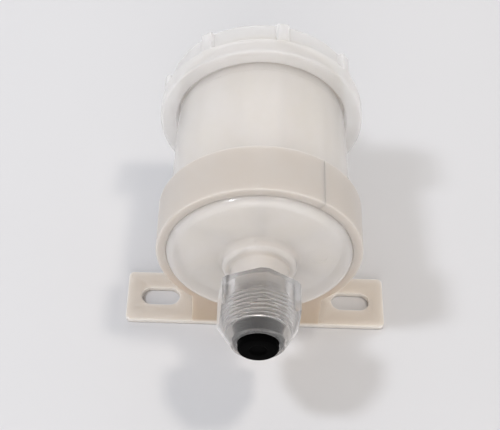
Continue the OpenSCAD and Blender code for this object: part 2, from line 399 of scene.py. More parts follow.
@dataclass(frozen=True)
class Thread:
    """A right-hand helical thread, raised or sunk on a plain wall."""

    blank: float
    start: float
    end: float
    pitch: float
    depth: float
    phase: float = 0.0
    flatness: float = 0.5
    rungs_per_turn: int = 10

    def wall(self) -> list[Corner]:
        """Gives the corners of the plain wall that the thread is cut in."""
        rungs = round(abs(self.end - self.start) / self.pitch * self.rungs_per_turn)
        return ladder(self.blank, self.start, self.end, rungs)

    def height(self, s: float, turn: float) -> float:
        """Gives the share of the full depth at a place.

        Args:
            s: Place along the axis.
            turn: Place around the axis, as a share of a turn.

        Returns:
            0 on the blank wall and 1 at the full depth.
        """
        wave = 0.5 + self.flatness * math.cos(TURN * (s / self.pitch - turn - self.phase))
        low, high = sorted((self.start, self.end))
        run_out = min(1.0, (s - low) / self.pitch, (high - s) / self.pitch)
        return min(1.0, max(0.0, wave)) * max(0.0, run_out)

    def cut(self, piece: bpy.types.Object, axis: FilterAxis) -> None:
        """Moves the wall's points in or out to the thread's form.

        Args:
            piece: The piece that has the plain wall.
            axis: The filter's axis.
        """
        low, high = sorted((self.start, self.end))
        for vertex in piece.data.vertices:
            radius, s, turn = axis.polar(vertex.co)
            if abs(radius - self.blank) < 0.02 and low - 0.01 < s < high + 0.01:
                grown = radius + self.depth * self.height(s, turn)
                vertex.co = axis.at(grown, s, 90 - 360 * turn)


# --- finishes ---------------------------------------------------------------


def linear(code: str, alpha: float = 1.0) -> tuple[float, float, float, float]:
    """Turns an sRGB hex code into linear light.

    Args:
        code: The colour as #RRGGBB.
        alpha: Its opacity.

    Returns:
        Red, green, blue and opacity.
    """
    shares = [int(code[place : place + 2], 16) / 255 for place in (1, 3, 5)]
    light = [c / 12.92 if c <= 0.04045 else ((c + 0.055) / 1.055) ** 2.4 for c in shares]
    return (*light, alpha)


def set_stops(ramp: bpy.types.ColorRamp, stops: Stops) -> None:
    """Gives a colour ramp its stops, each a place and an sRGB hex code.

    Args:
        ramp: The ramp to fill.
        stops: Place and colour of each stop.
    """
    while len(ramp.elements) < len(stops):
        ramp.elements.new(0.5)
    for element, (place, code) in zip(ramp.elements, stops, strict=True):
        element.position = place
        element.color = linear(code)


def add_node(
    tree: bpy.types.NodeTree,
    kind: str,
    settings: dict[str, object] | None = None,
    links: dict[str, Source] | None = None,
) -> bpy.types.Node:
    """Adds a shader node.

    Args:
        tree: The material's node tree.
        kind: Blender's name for the node.
        settings: Values of its properties and unlinked sockets, by name, and a ramp's stops.
        links: What feeds its inputs, by name: a socket, or a node for its first output.

    Returns:
        The new node.
    """
    node = tree.nodes.new(kind)
    for name, value in (settings or {}).items():
        if name == "stops":
            set_stops(node.color_ramp, value)
        elif hasattr(node, name):
            setattr(node, name, value)
        else:
            node.inputs[name].default_value = value
    for name, source in (links or {}).items():
        socket = source.outputs[0] if isinstance(source, bpy.types.Node) else source
        tree.links.new(socket, node.inputs[name])
    return node


def blank_material(name: str) -> tuple[bpy.types.Material, bpy.types.NodeTree]:
    """Makes an empty node material.

    Args:
        name: Name of the material.

    Returns:
        The material and its node tree.
    """
    material = bpy.data.materials.new(name)
    material.use_nodes = True
    material.node_tree.nodes.clear()
    return material, material.node_tree


def finish_surface(
    tree: bpy.types.NodeTree, settings: dict[str, object], links: dict[str, Source]
) -> None:
    """Closes a material with its surface and the output."""
    surface = add_node(tree, "ShaderNodeBsdfPrincipled", settings, links)
    add_node(tree, "ShaderNodeOutputMaterial", links={"Surface": surface})


@dataclass(frozen=True)
class Patches:
    """Uneven patches of one size in a surface: flow marks, stains, fibres or a tool's texture.

    The size is in millimetres. The stretch says how much longer the patches are along the
    filter's axis, and the detail how many finer layers they have.
    """

    size: float
    detail: float = 2.0
    stretch: float = 1.0

    def draw(self, tree: bpy.types.NodeTree) -> bpy.types.Node:
        """Draws the patches in the frame's own coordinates.

        Args:
            tree: The material's node tree.

        Returns:
            The node whose first output is the patches' height.
        """
        place = add_node(tree, "ShaderNodeTexCoord")
        scale = (1.0, 1.0 / self.stretch, 1.0)
        mapping = add_node(
            tree, "ShaderNodeMapping", {"Scale": scale}, {"Vector": place.outputs["Object"]}
        )
        settings = {"Scale": 1 / (self.size * MM), "Detail": self.detail}
        return add_node(tree, "ShaderNodeTexNoise", settings, {"Vector": mapping})

    def lay(
        self,
        tree: bpy.types.NodeTree,
        tones: Stops | None = None,
        roughness: tuple[float, float] | None = None,
        height: float | None = None,
    ) -> dict[str, Source]:
        """Lays the patches on a surface.

        Args:
            tree: The material's node tree.
            tones: Place and colour of each tone, if they tint the surface.
            roughness: Least and greatest roughness, if they make the gloss uneven.
            height: Their full height in millimetres, if they stand in relief.

        Returns:
            What feeds the surface shader's sockets, by the socket's name.
        """
        patches = self.draw(tree)
        links: dict[str, Source] = {}
        if tones is not None:
            settings = {"stops": tones}
            links["Base Color"] = add_node(tree, "ShaderNodeValToRGB", settings, {"Fac": patches})
        if roughness is not None:
            settings = PATCH_RANGE | {"To Min": roughness[0], "To Max": roughness[1]}
            links["Roughness"] = add_node(tree, "ShaderNodeMapRange", settings, {"Value": patches})
        if height is not None:
            settings = {"Strength": 1.0, "Distance": height * MM}
            links["Normal"] = add_node(tree, "ShaderNodeBump", settings, {"Height": patches})
        return links


FLOW_CLOUDS = Patches(9.0, detail=3.0, stretch=1.8)


@dataclass(frozen=True)
class MouldedPlastic:
    """Injection-moulded plastic: faint clouds from its flow, and the tool's fine texture.

    The texture is drawn about ten times coarser than a real tool's, so that it shows.
    """

    name: str
    colour: str
    cloud: str
    roughness: float = 0.4
    ior: float = 1.5
    milky: float = 0.0
    depth: float = 2.0
    solid: float = 1.0
    grain: float = 0.5
    relief: float = 0.004
    shine: float = 0.5
    bloom: float = 0.0

    def build(self) -> bpy.types.Material:
        """Builds the material.

        Returns:
            The material.
        """
        material, tree = blank_material(self.name)
        settings = {
            "IOR": self.ior,
            "Specular IOR Level": self.shine,
            "Alpha": self.solid,
            "Subsurface Weight": self.milky,
            "Subsurface Radius": EVEN_RADIUS,
            "Subsurface Scale": self.depth * MM,
            "Sheen Weight": self.bloom,
            "Sheen Roughness": 0.4,
        }
        flow = FLOW_CLOUDS.lay(tree, tones=((0.38, self.colour), (0.66, self.cloud)))
        gloss = (self.roughness - 0.05, self.roughness + 0.06)
        texture = Patches(self.grain, detail=4.0).lay(tree, roughness=gloss, height=self.relief)
        finish_surface(tree, settings, flow | texture)
        return material


@dataclass(frozen=True)
class ThicknessAndShadeTonedPlastic:
    """Moulded plastic whose tone follows height, partly for the wall's thickness and partly as
    painted light: the thin foot is painted paler for light coming up through it, and the low saddle
    darker as painted shade under the disc and the nut.
    """

    name: str
    tones: tuple[tuple[float, str], ...]
    reach: float = 40.0
    cloud: str = "#C9B8A5"
    cloud_share: float = 0.12
    roughness: float = 0.42
    ior: float = 1.53
    depth: float = 4.0
    solid: float = 0.85

    def build(self) -> bpy.types.Material:
        """Builds the material.

        Returns:
            The material.
        """
        material, tree = blank_material(self.name)
        place = add_node(tree, "ShaderNodeTexCoord")
        axes = add_node(tree, "ShaderNodeSeparateXYZ", links={"Vector": place.outputs["Object"]})
        height = add_node(
            tree, "ShaderNodeMapRange", {"From Max": self.reach * MM}, {"Value": axes.outputs["Z"]}
        )
        # The height stops paint the foot pale and the saddle's low part dark: partly the wall's
        # thickness, partly painted light through the foot and painted shade under the disc and the
        # nut.
        stops = [(level / self.reach, code) for level, code in self.tones]
        thickness_and_shade_tone = add_node(tree, "ShaderNodeValToRGB", {"stops": stops}, {"Fac": height})
        share = add_node(
            tree,
            "ShaderNodeMapRange",
            PATCH_RANGE | {"To Max": self.cloud_share},
            {"Value": FLOW_CLOUDS.draw(tree)},
        )
        colour = add_node(
            tree,
            "ShaderNodeMix",
            {"data_type": "RGBA", "B": linear(self.cloud)},
            {"Factor": share, "A": thickness_and_shade_tone},
        )
        settings = {
            "IOR": self.ior,
            "Alpha": self.solid,
            "Subsurface Weight": 1.0,
            "Subsurface Radius": EVEN_RADIUS,
            "Subsurface Scale": self.depth * MM,
            "Sheen Weight": 0.1,
        }
        gloss = (self.roughness - 0.05, self.roughness + 0.06)
        texture = Patches(0.45, detail=4.0).lay(tree, roughness=gloss, height=0.004)
        finish_surface(tree, settings, texture | {"Base Color": colour.outputs["Result"]})
        return material


@dataclass(frozen=True)
class ClearPlastic:
    """Clear moulded plastic, hazed and waved a little by its flow."""

    name: str
    colour: str
    cloud: str
    roughness: float = 0.13
    ior: float = 1.42
    clear: float = 0.95
    bloom: float = 0.6

    def build(self) -> bpy.types.Material:
        """Builds the material.

        Returns:
            The material.
        """
        material, tree = blank_material(self.name)
        settings = {
            "IOR": self.ior,
            "Transmission Weight": self.clear,
            "Sheen Weight": self.bloom,
        }
        flow = Patches(5.0, detail=1.0, stretch=2.0).lay(
            tree,
            tones=((0.38, self.colour), (0.66, self.cloud)),
            roughness=(self.roughness - 0.02, self.roughness + 0.02),
            height=0.004,
        )
        finish_surface(tree, settings, flow)
        return material


@dataclass(frozen=True)
class Rubber:
    """Moulded elastomer: matt, with a bloom that greys it in patches."""

    name: str
    colour: str
    bloom: str
    roughness: float = 0.7

    def build(self) -> bpy.types.Material:
        """Builds the material.

        Returns:
            The material.
        """
        material, tree = blank_material(self.name)
        bloom = Patches(2.5, detail=4.0).lay(
            tree,
            tones=((0.45, self.colour), (0.75, self.bloom)),
            roughness=(self.roughness - 0.1, self.roughness + 0.1),
        )
        texture = Patches(0.2).lay(tree, height=0.006)
        finish_surface(tree, {"IOR": 1.52, "Sheen Weight": 0.05}, bloom | texture)
        return material


@dataclass(frozen=True)
class SheetMetal:
    """Rolled sheet or drawn wire: fine lines one way, and stains that dull it.

    The lines are drawn several times coarser than real ones, so that they show.
    """

    name: str
    colour: str
    dull: str
    roughness: float = 0.3
    line: float = 0.12

    def build(self) -> bpy.types.Material:
        """Builds the material.

        Returns:
            The material.
        """
        material, tree = blank_material(self.name)
        stain = Patches(3.0, detail=4.0).lay(tree, tones=((0.4, self.colour), (0.75, self.dull)))
        gloss = (self.roughness - 0.06, self.roughness + 0.12)
        lines = Patches(self.line, stretch=12.0).lay(tree, roughness=gloss, height=0.002)
        finish_surface(tree, {"Metallic": 1.0}, stain | lines)
        return material


@dataclass(frozen=True)
class FilterPaper:
    """Resin-cured cellulose paper: matt felted fibres."""

    name: str
    colour: str
    fibre: str

    def build(self) -> bpy.types.Material:
        """Builds the material.

        Returns:
            The material.
        """
        material, tree = blank_material(self.name)
        felt = Patches(0.35, detail=6.0).lay(
            tree, tones=((0.35, self.fibre), (0.65, self.colour)), height=0.03
        )
        settings = {"Roughness": 0.9, "Subsurface Weight": 0.3, "Subsurface Scale": 0.4 * MM}
        finish_surface(tree, settings, felt)
        return material


# Unfilled nylon 6, injection moulded: waxy, pale where thin and warmer where thick; the pale foot
# is partly painted light coming up through it, and the dark low saddle partly painted shade under
# the disc and the nut.
NATURAL_NYLON = ThicknessAndShadeTonedPlastic(
    "natural_nylon_moulded",
    tones=((1.6, "#EFE6DC"), (3.0, "#BDAB95"), (20.0, "#C3B3A3"), (34.0, "#CBC4BC")),
)
# Natural polypropylene homopolymer: milk white, with a soft gloss from a polished tool.
MILKY_POLYPROPYLENE = MouldedPlastic(
    "milky_polypropylene_moulded",
    "#F4EDE7",
    "#F1EAE2",
    roughness=0.16,
    ior=1.49,
    milky=1.0,
    depth=6.0,
    solid=0.6,
    bloom=0.4,
    grain=0.6,
    relief=0.002,
)
# The same plastic in the thicker cap, from a spark-textured tool.
CAP_POLYPROPYLENE = MouldedPlastic(
    "cap_polypropylene_moulded",
    "#E8E6E4",
    "#E5E3E0",
    roughness=0.4,
    ior=1.49,
    milky=1.0,
    depth=6.0,
    solid=0.45,
    bloom=0.2,
    grain=0.5,
)
# Clarified polypropylene: nearly clear, so the threads inside bend what shows through.
NUT_POLYPROPYLENE = ClearPlastic("clarified_polypropylene_moulded", "#E4E2E0", "#DAD8D6")
# Black acetal copolymer, moulded: dense and slightly shiny.
BLACK_ACETAL = MouldedPlastic(
    "black_acetal_moulded", "#040405", "#080809", roughness=0.35, shine=0.15
)
# White acetal copolymer, moulded: dense, smooth and faintly cream.
WHITE_ACETAL = MouldedPlastic(
    "white_acetal_moulded", "#E6E4DE", "#DEDBD3", roughness=0.35, milky=0.3, depth=0.8
)
# Carbon-filled polyethylene, moulded: black through and through, waxy and dull.
PLUG_POLYETHYLENE = MouldedPlastic(
    "black_polyethylene_moulded",
    "#020202",
    "#040404",
    roughness=0.5,
    ior=1.51,
    grain=0.4,
    shine=0.01,
)
# Extruded polypropylene netting: thin white strands.
SLEEVE_POLYPROPYLENE = MouldedPlastic(
    "netting_polypropylene_extruded", "#E9E8E4", "#E2E0DB", roughness=0.35, milky=0.4, depth=0.5
)
# Unfilled thermoplastic elastomer, moulded: cream and slightly waxy.
NATURAL_ELASTOMER = MouldedPlastic(
    "natural_elastomer_moulded", "#E0DACB", "#D8D1BF", roughness=0.6, milky=0.4, depth=1.0
)
# Nitrile rubber, moulded: black, greyed by its bloom.
BLACK_RUBBER = Rubber("nitrile_rubber_moulded", "#0A0A0A", "#1D1D1E")
# Spring steel strip, rolled: bright and oily, with grey patches.
SPRING_STEEL = SheetMetal("spring_steel_rolled", "#B9BABC", "#8E8F92", roughness=0.28)
# Tinned steel strip, rolled: soft silver, duller than the spring.
TINNED_STEEL = SheetMetal("tinned_steel_rolled", "#C9CACB", "#AFB0B1", roughness=0.34)
# Stainless steel wire, drawn and woven: small bright lines with dark holes between them.
SCREEN_WIRE = SheetMetal("stainless_wire_woven", "#BDBCB8", "#95948F", roughness=0.3, line=0.05)
# Resin-cured filter paper, folded: buff, matt and slightly hairy.
FILTER_PAPER = FilterPaper("filter_paper_folded", "#D9CDB0", "#C8B996")

Finish = MouldedPlastic | ThicknessAndShadeTonedPlastic | ClearPlastic | Rubber | SheetMetal | FilterPaper


@dataclass
class FinishShop:
    """Builds each finish once and puts it on pieces and on carried-over nodes."""

    made: dict[str, bpy.types.Material] = field(default_factory=dict)

    def material(self, finish: Finish) -> bpy.types.Material:
        """Gives the finish's material, built on its first use.

        Args:
            finish: The finish.

        Returns:
            The material.
        """
        if finish.name not in self.made:
            self.made[finish.name] = finish.build()
        return self.made[finish.name]

    def dress_piece(self, piece: bpy.types.Object, finish: Finish) -> None:
        """Gives a new piece its finish."""
        piece.data.materials.clear()
        piece.data.materials.append(self.material(finish))

    def dress_node(self, name: str, finish: Finish, nodes: dict[str, bpy.types.Object]) -> None:
        """Gives a carried-over node its finish on its object's own slots.

        Args:
            name: The node's name.
            finish: The finish it gets.
            nodes: The frame's nodes.
        """
        node = nodes[name]
        for slot in node.material_slots:
            slot.material = self.material(finish)
        log.info("%s keeps its shape and gets %s", name, finish.name)

    def hand_over(
        self, piece: bpy.types.Object, finish: Finish, body: str, node: str
    ) -> None:
        """Dresses a piece, sets it in place of a node and lets it ride on its body.

        Args:
            piece: The finished piece.
            finish: Its finish.
            body: The body it rides on.
            node: The node that it stands for.
        """
        self.dress_piece(piece, finish)
        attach(piece, body)
        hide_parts(node)
        log.info("%s stands for %s and rides on %s", piece.name, node, body)


# --- sub-assemblies ---------------------------------------------------------


@dataclass
class MountingBracket:
    """Foot plate with two slots, cored saddle and split band, moulded in one."""

    axis: FilterAxis
    foot_w: float = 81.0
    foot_d: float = 18.0
    foot_t: float = 2.0
    foot_corner: float = 1.6
    slot_pitch: float = 60.0
    slot_l: float = 12.0
    slot_w: float = 6.4
    band_len: float = 15.8
    band_r: float = 30.0
    band_t: float = 2.9
    saddle_w: float = 39.5
    saddle_wall: float = 2.4
    rib_t: float = 1.9
    pocket_count: int = 4
    split_angle: float = 55.0
    split_gap: float = 0.12
    rim_round: float = 0.3

    def foot(self) -> bpy.types.Object:
        """Models the plate with its slots and its softened rims.

        Returns:
            The foot plate.
        """
        back = self.axis.rim_y + self.foot_d
        plate = block(
            "foot", (-self.foot_w / 2, self.axis.rim_y, 0), (self.foot_w / 2, back, self.foot_t)
        )
        bevel_edges(plate, along((0, 0, 1)), self.foot_corner, steps=6)
        for side in Side:
            middle = side.value * self.slot_pitch / 2
            slot = block(
                "slot",
                (middle - self.slot_l / 2, -self.slot_w / 2, -1),
                (middle + self.slot_l / 2, self.slot_w / 2, self.foot_t + 1),
            )
            bevel_edges(slot, along((0, 0, 1)), self.slot_w / 2 - 0.01, steps=8)
            combine(plate, slot, Join.CUT)
        soften_rims(plate, self.rim_round)
        return plate

    def saddle(self) -> bpy.types.Object:
        """Models the saddle with its pockets, open at the back.

        Returns:
            The saddle.
        """
        half, front = self.saddle_w / 2, self.axis.rim_y
        top = self.axis.z - self.band_r / 2
        body = block(
            "saddle", (-half, front, self.foot_t / 2), (half, front + self.band_len, top)
        )
        pocket_w = (self.saddle_w - self.rib_t * (self.pocket_count + 1)) / self.pocket_count
        for index in range(self.pocket_count):
            left = -half + self.rib_t + index * (pocket_w + self.rib_t)
            pocket = block(
                "pocket",
                (left, front + self.saddle_wall, self.foot_t - 0.2),
                (left + pocket_w, front + self.band_len + 1, top + 1),
            )
            bevel_edges(pocket, along((0, 0, 1)), 0.6)
            combine(body, pocket, Join.CUT)
        soften_rims(body, self.rim_round)
        seat_r = self.band_r - self.band_t / 2
        end = self.band_len + 1.2
        seat = turned("seat", [(0, -1), (seat_r, -1), (seat_r, end), (0, end)], self.axis, 128)
        combine(body, seat, Join.CUT)
        return body

    def band(self) -> bpy.types.Object:
        """Models the clamp band as a ring with rounded rims.

        Returns:
            The band.
        """
        bore = self.band_r - self.band_t
        outline = rounded(
            [
                (bore, 0, 0.35),
                (self.band_r, 0, 0.45),
                (self.band_r, self.band_len, 0.45),
                (bore, self.band_len, 0.35),
            ]
        )
        return turned("band", outline, self.axis, 128)

    def build(self, shop: FinishShop) -> None:
        """Joins the three shapes, splits the band and hands the bracket over.

        Args:
            shop: Holds the finishes and hands pieces over.
        """
        bracket = self.foot()
        combine(bracket, self.saddle(), Join.ADD)
        combine(bracket, self.band(), Join.ADD)
        middle = self.axis.z
        split = block(
            "split",
            (self.band_r - self.band_t - 1, self.axis.rim_y - 1, middle - self.split_gap / 2),
            (self.band_r + 1, self.axis.rim_y + self.band_len + 1, middle + self.split_gap / 2),
        )
        split.data.transform(self.axis.turned_by(self.split_angle))
        combine(bracket, split, Join.CUT)
        settle(bracket, "bracket")
        smooth(bracket, 40)
        shop.hand_over(bracket, NATURAL_NYLON, "bracket", "mounting_bracket")


@dataclass
class FilterBowl:
    """Bowl with its outlet stem, the stem's pipe thread and the neck's coarse thread."""

    axis: FilterAxis
    radius: float = 27.04
    shoulder_r: float = 26.05
    bore_r: float = 23.7
    front_s: float = -2.1
    floor_s: float = 0.5
    boss_r: float = 10.7
    boss_s: float = -5.7
    stem_root_r: float = 7.58
    stem_crest_r: float = 8.33
    stem_end_s: float = -25.5
    thread_s: float = -16.4
    stem_pitch: float = 1.337
    seal_seat_r: float = 7.2
    seal_seat_s: float = -24.05
    socket_r: float = 5.85
    socket_end_s: float = -12.9
    passage_r: float = 4.0
    spigot_r: float = 6.0
    spigot_end_s: float = 7.0
    shoulder_s: float = 49.4
    land_r: float = 25.7
    land_end_s: float = 52.4
    neck_root_r: float = 25.2
    neck_crest_r: float = 26.4
    neck_end_s: float = 62.0
    neck_pitch: float = 3.0
    rib_count: int = 6
    rib_t: float = 1.2
    rib_h: float = 1.6
    rib_sink: float = 0.4
    ejector_x: float = 16.5
    ejector_z: float = 3.0
    ejector_r: float = 2.9
    ejector_depth: float = 0.12

    def stem_thread(self) -> Thread:
        """Gives the pipe thread on the stem.

        Returns:
            The thread.
        """
        depth = self.stem_crest_r - self.stem_root_r
        start = self.stem_end_s + 0.3
        return Thread(self.stem_root_r, start, self.thread_s, self.stem_pitch, depth)

    def neck_thread(self) -> Thread:
        """Gives the coarse thread on the neck.

        Returns:
            The thread.
        """
        depth = self.neck_crest_r - self.neck_root_r
        return Thread(
            self.neck_root_r,
            self.land_end_s + 0.1,
            self.neck_end_s - 0.5,
            self.neck_pitch,
            depth,
            flatness=0.9,
            rungs_per_turn=14,
        )

    def outline(self) -> list[Point]:
        """Gives the section of the whole bowl, from the stem's front end and back again.

        Returns:
            The closed outline as (radius, s).
        """
        corners = [
            (self.seal_seat_r, self.stem_end_s, 0.0),
            (self.stem_root_r, self.stem_end_s, 0.0),
            *self.stem_thread().wall(),
            (self.stem_root_r, self.thread_s, 0.0),
            (self.stem_crest_r, self.thread_s + 0.7, 0.3),
            (self.stem_crest_r, self.boss_s, 0.8),
            (self.boss_r, self.boss_s, 1.4),
            (self.boss_r, self.front_s, 1.4),
            (self.radius, self.front_s, 2.6),
            (self.radius, 15.8, 0.0),
            (self.shoulder_r, self.shoulder_s - 1, 0.0),
            (self.shoulder_r, self.shoulder_s, 0.3),
            (self.land_r, self.shoulder_s, 0.0),
            (self.land_r, self.land_end_s, 0.3),
            (self.neck_root_r, self.land_end_s, 0.0),
            *self.neck_thread().wall(),
            (self.neck_root_r, self.neck_end_s, 0.3),
            (self.bore_r, self.neck_end_s, 0.3),
            (self.bore_r, self.floor_s, 1.0),
            (self.spigot_r, self.floor_s, 0.4),
            (self.spigot_r, self.spigot_end_s, 0.5),
            (self.passage_r, self.spigot_end_s, 0.3),
            (self.passage_r, self.socket_end_s, 0.0),
            (self.socket_r, self.socket_end_s, 0.0),
            (self.socket_r, self.seal_seat_s, 0.0),
            (self.seal_seat_r, self.seal_seat_s, 0.0),
        ]
        return rounded(corners, steps=6)

    def floor_ribs(self) -> bpy.types.Object:
        """Models the ribs on the bowl's floor, which hold the element off it.

        Returns:
            The ring of ribs.
        """
        floor_y = self.axis.rim_y + self.floor_s
        rib = block(
            "ribs",
            (self.spigot_r - 1, floor_y - self.rib_sink, self.axis.z - self.rib_t / 2),
            (self.bore_r + self.rib_sink, floor_y + self.rib_h, self.axis.z + self.rib_t / 2),
        )
        bevel_edges(rib, any_way, 0.25, steps=2)
        return ring_of_copies(rib, self.axis, self.rib_count, 30)

    def ejector_pin(self, length: float = 2.0) -> bpy.types.Object:
        """Models the pin that leaves the round mark on the bowl's face.

        Args:
            length: Length of the pin.

        Returns:
            The pin, to be cut out of the bowl.
        """
        pin_y = self.axis.rim_y + self.front_s + self.ejector_depth - length / 2
        bpy.ops.object.select_all(action="DESELECT")
        bpy.ops.mesh.primitive_cylinder_add(
            vertices=40,
            radius=self.ejector_r * MM,
            depth=length * MM,
            location=Vector((self.ejector_x, pin_y, self.axis.z + self.ejector_z)) * MM,
            rotation=(math.pi / 2, 0, 0),
        )
        return settle(bpy.context.active_object, "ejector_mark")

    def build(self, shop: FinishShop) -> None:
        """Turns the bowl, cuts its threads and marks, and hands it over.

        Args:
            shop: Holds the finishes and hands pieces over.
        """
        bowl = turned("bowl", self.outline(), self.axis, 120)
        self.stem_thread().cut(bowl, self.axis)
        self.neck_thread().cut(bowl, self.axis)
        combine(bowl, self.ejector_pin(), Join.CUT)
        bowl = merge_objects([bowl, self.floor_ribs()], "bowl")
        smooth(bowl)
        shop.hand_over(bowl, MILKY_POLYPROPYLENE, "bowl", "filter_bowl")


@dataclass
class ScrewCap:
    """Cap with a collar, grip lugs, its own coarse thread and a tapped inlet port."""

    axis: FilterAxis
    mouth_s: float = 51.3
    collar_r: float = 31.69
    collar_len: float = 5.7
    grip_r: float = 29.3
    end_s: float = 66.0
    bore_r: float = 26.7
    face_s: float = 63.6
    lug_count: int = 8
    lug_r: float = 31.2
    lug_w: float = 4.0
    lug_s: tuple[float, float] = (55.3, 64.6)
    lug_sink: float = 1.2
    first_lug: float = 35.0
    port_r: float = 11.0
    port_end_s: float = 75.0
    tap_r: float = 7.48
    tap_s: float = 67.0
    tap_pitch: float = 1.337
    tap_depth: float = 0.75
    thread_pitch: float = 3.0
    thread_depth: float = 1.1
    passage_r: float = 4.0
    seat_r: float = 7.9
    seat_s: float = 64.6
    screen_s: float = 64.425
    screen_r: float = 7.8
    wire_r: float = 0.055
    wire_gap: float = 0.55

    def cap_thread(self) -> Thread:
        """Gives the thread in the bore, which lies in the grooves of the neck's.

        Returns:
            The thread.
        """
        return Thread(
            self.bore_r,
            self.face_s - 2.0,
            self.mouth_s + 1.6,
            self.thread_pitch,
            -self.thread_depth,
            phase=0.5,
            flatness=0.8,
            rungs_per_turn=14,
        )

    def port_thread(self) -> Thread:
        """Gives the pipe thread in the port."""
        start, end = self.port_end_s - 0.3, self.tap_s + 0.2
        return Thread(self.tap_r, start, end, self.tap_pitch, self.tap_depth)

    def outline(self) -> list[Point]:
        """Gives the cap's section, from its mouth over the outside and back inside.

        Returns:
            The closed outline as (radius, s).
        """
        step_s = self.mouth_s + self.collar_len
        corners = [
            (self.bore_r, self.mouth_s, 0.6),
            (self.collar_r, self.mouth_s, 0.8),
            (self.collar_r, step_s, 0.9),
            (self.grip_r, step_s, 0.5),
            (self.grip_r, self.end_s, 1.8),
            (self.port_r, self.end_s, 0.8),
            (self.port_r, self.port_end_s, 0.8),
            (self.tap_r, self.port_end_s, 0.0),
            *self.port_thread().wall(),
            (self.tap_r, self.tap_s, 0.0),
            (self.passage_r, self.tap_s, 0.3),
            (self.passage_r, self.seat_s, 0.0),
            (self.seat_r, self.seat_s, 0.0),
            (self.seat_r, self.face_s, 0.0),
            (self.bore_r, self.face_s, 0.0),
            *self.cap_thread().wall(),
        ]
        return rounded(corners)

    def lugs(self) -> bpy.types.Object:
        """Models one grip lug and repeats it around the cap.

        Returns:
            The ring of lugs.
        """
        front = self.axis.rim_y
        lug = block(
            "lugs",
            (self.grip_r - self.lug_sink, front + self.lug_s[0], self.axis.z - self.lug_w / 2),
            (self.lug_r, front + self.lug_s[1], self.axis.z + self.lug_w / 2),
        )
        bevel_edges(lug, any_way, 0.7, steps=3)
        return ring_of_copies(lug, self.axis, self.lug_count, self.first_lug)

    def screen(self) -> bpy.types.Object:
        """Weaves the inlet screen: each wire passes over and under those that cross it.

        Returns:
            The screen as one mesh.
        """
        reach = int(self.screen_r / self.wire_gap)
        wires = []
        for across in (False, True):
            for row in range(-reach, reach + 1):
                place = row * self.wire_gap
                half = math.sqrt(max(self.screen_r**2 - place**2, 0.3))
                stops = [k for k in range(-reach, reach + 1) if abs(k * self.wire_gap) < half]
                if len(stops) < 2:
                    continue
                wires.append(self.wire(place, stops, across, (row + across) % 2))
        return merge_objects(wires, "inlet_screen_weave")

    def wire(
        self, place: float, stops: Sequence[int], across: bool, first: int
    ) -> bpy.types.Object:
        """Draws one wire of the screen.

        Args:
            place: Distance of the wire from the screen's centre.
            stops: Numbers of the wires that it crosses.
            across: Whether it runs up rather than sideways.
            first: Whether it starts over or under.

        Returns:
            The wire as a mesh.
        """
        points = []
        for stop in stops:
            lift = self.wire_r if (stop + first) % 2 else -self.wire_r
            side = stop * self.wire_gap
            x, z = (place, side) if across else (side, place)
            points.append(Vector((x, self.axis.rim_y + self.screen_s + lift, self.axis.z + z)) * MM)
        bpy.ops.object.select_all(action="DESELECT")
        bpy.ops.mesh.primitive_circle_add(
            vertices=6,
            radius=self.wire_r * MM,
            fill_type="NGON",
            location=points[0],
            rotation=(0, 0 if across else math.pi / 2, 0),
        )
        wire = settle(bpy.context.active_object, "wire")
        bpy.ops.object.mode_set(mode="EDIT")
        bpy.ops.mesh.select_all(action="SELECT")
        for here, there in pairwise(points):
            bpy.ops.mesh.extrude_region_move(TRANSFORM_OT_translate={"value": there - here})
        bpy.ops.object.mode_set(mode="OBJECT")
        face_outwards(wire)
        return wire

    def build(self, shop: FinishShop) -> None:
        """Turns the cap, adds its lugs, and hands it and its screen over.

        Args:
            shop: Holds the finishes and hands pieces over.
        """
        cap = turned("cap", self.outline(), self.axis, 120)
        self.cap_thread().cut(cap, self.axis)
        self.port_thread().cut(cap, self.axis)
        combine(cap, self.lugs(), Join.ADD)
        smooth(cap)
        shop.hand_over(cap, CAP_POLYPROPYLENE, "cap", "screw_cap")
        screen = self.screen()
        smooth(screen)
        shop.hand_over(screen, SCREEN_WIRE, "cap", "inlet_screen")


